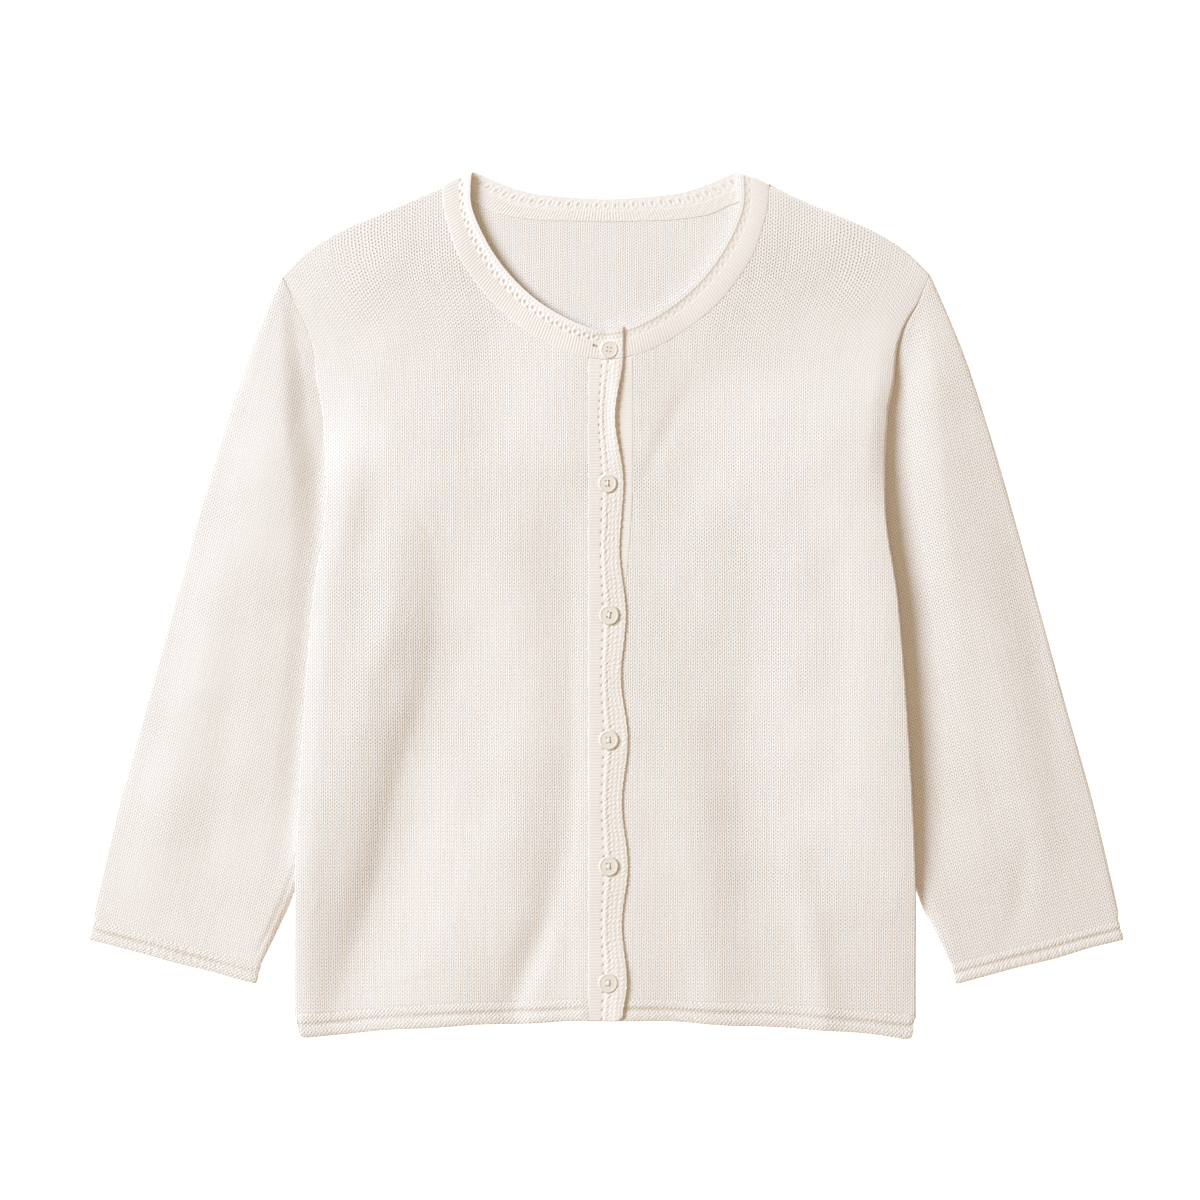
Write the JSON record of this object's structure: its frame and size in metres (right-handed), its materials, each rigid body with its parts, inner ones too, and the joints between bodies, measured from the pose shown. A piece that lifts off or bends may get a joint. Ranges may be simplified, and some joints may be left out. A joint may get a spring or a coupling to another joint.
{
  "type": "button cardigan",
  "caption": "Round-neck knitted cardigan laid flat on its back, buttoned up, with cropped sleeves folded down, ribbed neckband and front bands, and ridged and rolled hem and cuff trims.",
  "frame": {"origin": "middle of the garment's outline, on the surface it lies on", "axes": "+Y towards the neck, +Z out of the front, -X towards the wearer's right sleeve"},
  "size_m": [0.6736, 0.5621, 0.0135],
  "materials": {
    "jersey": "matt cream cotton-type jersey knit",
    "rib": "matt cream rib knit with eyelets and a soft edging",
    "trim": "matt cream knit with a ridge and a rolled edge",
    "button": "cream plastic with a soft shine"
  },
  "bodies": {
    "root": {"back_panel": "jersey", "front_panel_right": "jersey", "front_panel_left": "jersey", "sleeve_right": "jersey", "sleeve_left": "jersey", "cuff_right": "trim", "cuff_left": "trim", "hem_back": "trim", "hem_front_right": "trim", "hem_front_left": "trim", "neckband_back": "rib", "neckband_right": "rib", "neckband_left": "rib", "buttonhole_band": "rib", "button_band": "rib", "button_1": "button", "button_2": "button", "button_3": "button", "button_4": "button", "button_5": "button", "button_6": "button"}
  },
  "joints": []
}
